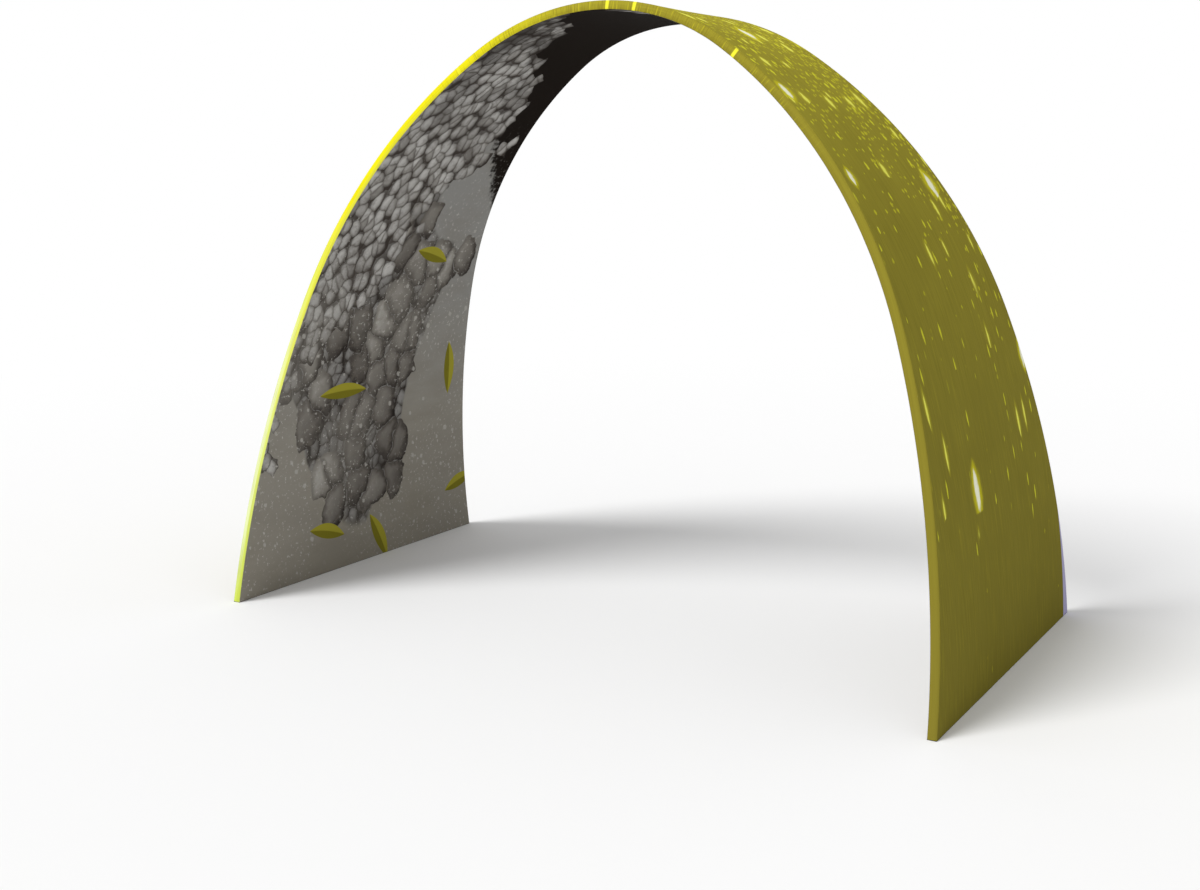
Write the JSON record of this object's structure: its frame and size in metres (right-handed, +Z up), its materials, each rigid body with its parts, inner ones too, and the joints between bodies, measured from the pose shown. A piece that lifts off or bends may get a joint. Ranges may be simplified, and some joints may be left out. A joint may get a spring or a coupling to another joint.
{
  "type": "fabric arch display",
  "caption": "Free-standing walk-through display arch: a taut printed fabric cover zipped over leaning hoops of bent aluminium tube, tied by straight spreader tubes and base rails.",
  "frame": {"origin": "on the floor at the centre of the footprint", "axes": "+X across the opening to the right leg seen from the front, +Y from the front edge to the rear edge, +Z up"},
  "size_m": [3.05, 1.58, 2.3732],
  "materials": {
    "tube_aluminium": "satin",
    "cast_aluminium": "matte",
    "button_steel": "polished",
    "spring_steel": "satin",
    "zinc_plated_steel": "satin",
    "outer_print_fabric": "matte",
    "inner_print_fabric": "matte",
    "edge_print_fabric": "matte",
    "rear_edge_fabric": "matte",
    "bottom_fabric": "matte",
    "zip_tape_fabric": "matte",
    "zip_coil_nylon": "satin",
    "zip_metal": "satin"
  },
  "bodies": {
    "arch": {"front_right_lower_tube": "tube_aluminium", "front_right_haunch_tube": "tube_aluminium", "front_left_lower_tube": "tube_aluminium", "front_left_haunch_tube": "tube_aluminium", "front_crown_tube": "tube_aluminium", "rear_right_lower_tube": "tube_aluminium", "rear_right_haunch_tube": "tube_aluminium", "rear_left_lower_tube": "tube_aluminium", "rear_left_haunch_tube": "tube_aluminium", "rear_crown_tube": "tube_aluminium", "front_right_corner_elbow": "cast_aluminium", "front_left_corner_elbow": "cast_aluminium", "rear_right_corner_elbow": "cast_aluminium", "rear_left_corner_elbow": "cast_aluminium", "right_front_base_rail": "tube_aluminium", "right_rear_base_rail": "tube_aluminium", "right_low_spreader": "tube_aluminium", "right_high_spreader": "tube_aluminium", "left_front_base_rail": "tube_aluminium", "left_rear_base_rail": "tube_aluminium", "left_low_spreader": "tube_aluminium", "left_high_spreader": "tube_aluminium", "crown_spreader": "tube_aluminium", "button_springs": "spring_steel", "frame_screws": "zinc_plated_steel", "outer_fabric_panel": "outer_print_fabric", "inner_fabric_panel": "inner_print_fabric", "front_edge_gusset": "edge_print_fabric", "rear_edge_outer_strip": "rear_edge_fabric", "rear_edge_inner_strip": "rear_edge_fabric", "right_bottom_gusset": "bottom_fabric", "left_bottom_gusset": "bottom_fabric", "right_zip_tapes": "zip_tape_fabric", "left_zip_tapes": "zip_tape_fabric", "right_zip_teeth": "zip_coil_nylon", "left_zip_teeth": "zip_coil_nylon", "zip_stops": "zip_metal"},
    "front_right_low_button": {"front_right_low_button": "button_steel"},
    "front_right_high_button": {"front_right_high_button": "button_steel"},
    "front_left_low_button": {"front_left_low_button": "button_steel"},
    "front_left_high_button": {"front_left_high_button": "button_steel"},
    "rear_right_low_button": {"rear_right_low_button": "button_steel"},
    "rear_right_high_button": {"rear_right_high_button": "button_steel"},
    "rear_left_low_button": {"rear_left_low_button": "button_steel"},
    "rear_left_high_button": {"rear_left_high_button": "button_steel"},
    "right_rail_button": {"right_rail_button": "button_steel"},
    "left_rail_button": {"left_rail_button": "button_steel"},
    "right_zip_slider": {"right_zip_slider": "zip_metal"},
    "right_zip_pull": {"right_zip_pull": "zip_metal"},
    "left_zip_slider": {"left_zip_slider": "zip_metal"},
    "left_zip_pull": {"left_zip_pull": "zip_metal"}
  },
  "joints": [
    {"name": "front_right_low_button_press", "type": "slide", "parent": "arch", "child": "front_right_low_button", "axis": [0, -0.9816, 0.1908], "range_m": [0, 0.0053], "stiffness_N_per_m": 2500, "springref_m": -0.002, "deforming": ["button_springs"]},
    {"name": "front_right_high_button_press", "type": "slide", "parent": "arch", "child": "front_right_high_button", "axis": [0, -0.9816, 0.1908], "range_m": [0, 0.0053], "stiffness_N_per_m": 2500, "springref_m": -0.002, "deforming": ["button_springs"]},
    {"name": "front_left_low_button_press", "type": "slide", "parent": "arch", "child": "front_left_low_button", "axis": [0, -0.9816, 0.1908], "range_m": [0, 0.0053], "stiffness_N_per_m": 2500, "springref_m": -0.002, "deforming": ["button_springs"]},
    {"name": "front_left_high_button_press", "type": "slide", "parent": "arch", "child": "front_left_high_button", "axis": [0, -0.9816, 0.1908], "range_m": [0, 0.0053], "stiffness_N_per_m": 2500, "springref_m": -0.002, "deforming": ["button_springs"]},
    {"name": "rear_right_low_button_press", "type": "slide", "parent": "arch", "child": "rear_right_low_button", "axis": [0, 0.9816, 0.1908], "range_m": [0, 0.0053], "stiffness_N_per_m": 2500, "springref_m": -0.002, "deforming": ["button_springs"]},
    {"name": "rear_right_high_button_press", "type": "slide", "parent": "arch", "child": "rear_right_high_button", "axis": [0, 0.9816, 0.1908], "range_m": [0, 0.0053], "stiffness_N_per_m": 2500, "springref_m": -0.002, "deforming": ["button_springs"]},
    {"name": "rear_left_low_button_press", "type": "slide", "parent": "arch", "child": "rear_left_low_button", "axis": [0, 0.9816, 0.1908], "range_m": [0, 0.0053], "stiffness_N_per_m": 2500, "springref_m": -0.002, "deforming": ["button_springs"]},
    {"name": "rear_left_high_button_press", "type": "slide", "parent": "arch", "child": "rear_left_high_button", "axis": [0, 0.9816, 0.1908], "range_m": [0, 0.0053], "stiffness_N_per_m": 2500, "springref_m": -0.002, "deforming": ["button_springs"]},
    {"name": "right_rail_button_press", "type": "slide", "parent": "arch", "child": "right_rail_button", "axis": [0, 0, -1], "range_m": [0, 0.0053], "stiffness_N_per_m": 2500, "springref_m": -0.002, "deforming": ["button_springs"]},
    {"name": "left_rail_button_press", "type": "slide", "parent": "arch", "child": "left_rail_button", "axis": [0, 0, -1], "range_m": [0, 0.0053], "stiffness_N_per_m": 2500, "springref_m": -0.002, "deforming": ["button_springs"]},
    {"name": "right_zip_slide", "type": "hinge", "parent": "arch", "child": "right_zip_slider", "pos_m": [-2.7229, 0.81415, -0.13104], "axis": [0, -0.9816, -0.1908], "range_deg": [0, 16.18], "deforming": ["right_zip_teeth"]},
    {"name": "right_zip_pull_swing", "type": "hinge", "parent": "right_zip_slider", "child": "right_zip_pull", "pos_m": [1.50463, 0.77692, 0.08879], "axis": [0.9986, -0.01, 0.0517], "range_deg": [0, 160]},
    {"name": "left_zip_slide", "type": "hinge", "parent": "arch", "child": "left_zip_slider", "pos_m": [2.7229, 0.81415, -0.13104], "axis": [0, 0.9816, 0.1908], "range_deg": [0, 16.18], "deforming": ["left_zip_teeth"]},
    {"name": "left_zip_pull_swing", "type": "hinge", "parent": "left_zip_slider", "child": "left_zip_pull", "pos_m": [-1.50463, 0.77692, 0.08879], "axis": [0.9986, 0.01, -0.0517], "range_deg": [0, 160]}
  ]
}
